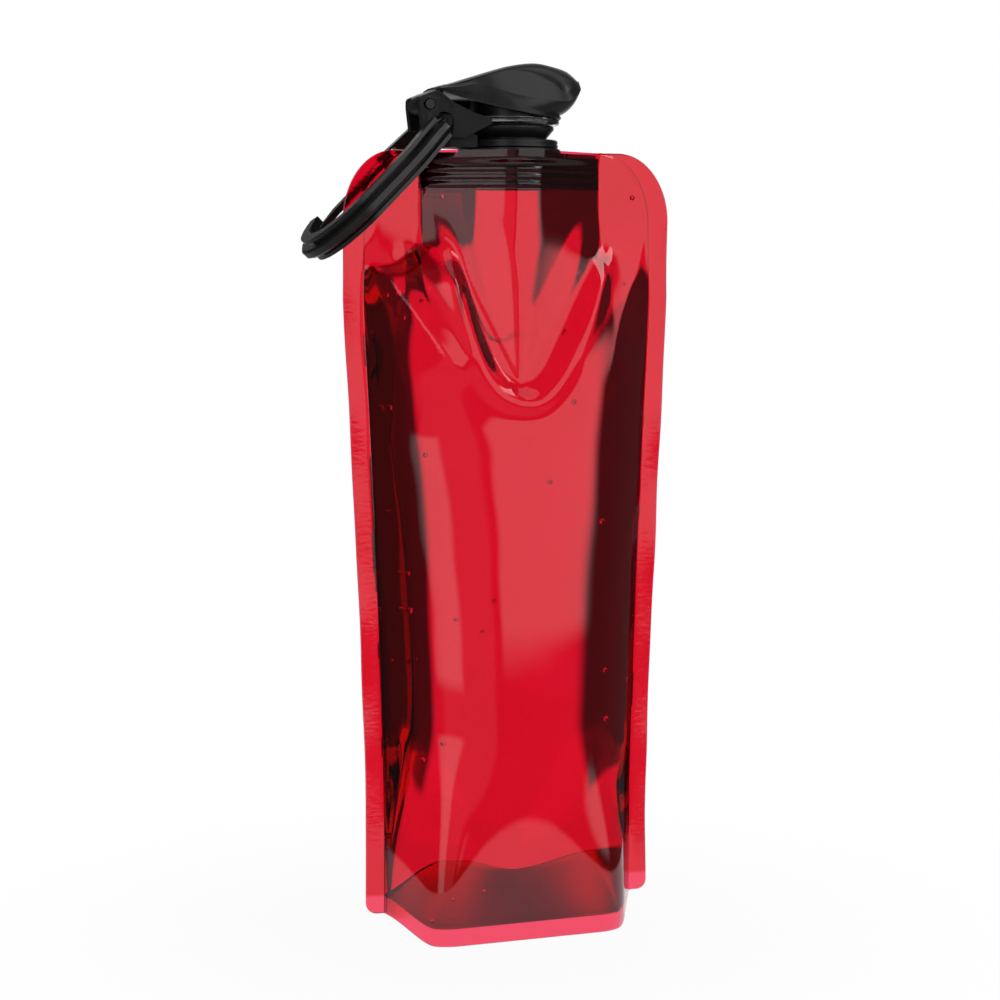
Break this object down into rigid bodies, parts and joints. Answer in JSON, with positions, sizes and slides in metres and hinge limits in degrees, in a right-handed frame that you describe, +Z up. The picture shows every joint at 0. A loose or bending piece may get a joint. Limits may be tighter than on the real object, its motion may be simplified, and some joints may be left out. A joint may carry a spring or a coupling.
{
  "type": "collapsible water bottle",
  "caption": "Soft red film water pouch with a gusseted base, a welded spout, a black screw cap with a flip lid, and a hinged clip loop with a sprung gate.",
  "frame": {"origin": "middle of the outline's width and depth, on the ground under the base", "axes": "+X across the pouch, away from the clip loop; +Y through it, away from the viewer; +Z up"},
  "size_m": [0.1322, 0.0482, 0.3002],
  "materials": {
    "red_film": "clear glossy laminated film",
    "black_resin": "satin moulded",
    "dark_spout_resin": "smooth moulded",
    "clear_silicone": "translucent",
    "spring_steel": "bright"
  },
  "bodies": {
    "bottle": {"front_film": "red_film", "back_film": "red_film", "base_gusset_film": "red_film", "spout_fitment": "dark_spout_resin"},
    "cap": {"cap_body": "black_resin", "mouthpiece": "black_resin", "neck_gasket": "clear_silicone", "hinge_pin": "spring_steel"},
    "lid": {"lid_shell": "black_resin", "lid_seal": "clear_silicone", "seal_carrier": "black_resin"},
    "carabiner": {"carabiner_frame": "black_resin", "gate_pin": "spring_steel", "gate_spring": "spring_steel"},
    "gate": {"carabiner_gate": "black_resin"}
  },
  "joints": [
    {"name": "cap_lift", "type": "slide", "parent": "bottle", "child": "cap", "axis": [0, 0, 1], "range_m": [0, 0.02]},
    {"name": "lid_hinge", "type": "hinge", "parent": "cap", "child": "lid", "pos_m": [-0.02446, 0, 0.285], "axis": [0, -1, 0], "range_deg": [0, 115]},
    {"name": "carabiner_swing", "type": "hinge", "parent": "cap", "child": "carabiner", "pos_m": [-0.01996, 0, 0.2792], "axis": [0, 1, 0], "range_deg": [0, 65]},
    {"name": "gate_hinge", "type": "hinge", "parent": "carabiner", "child": "gate", "pos_m": [-0.03092, 0.01756, 0.26824], "axis": [-0.7071, 0, 0.7071], "range_deg": [0, 20], "stiffness_Nm_per_rad": 0.05, "springref_deg": -20.05}
  ]
}
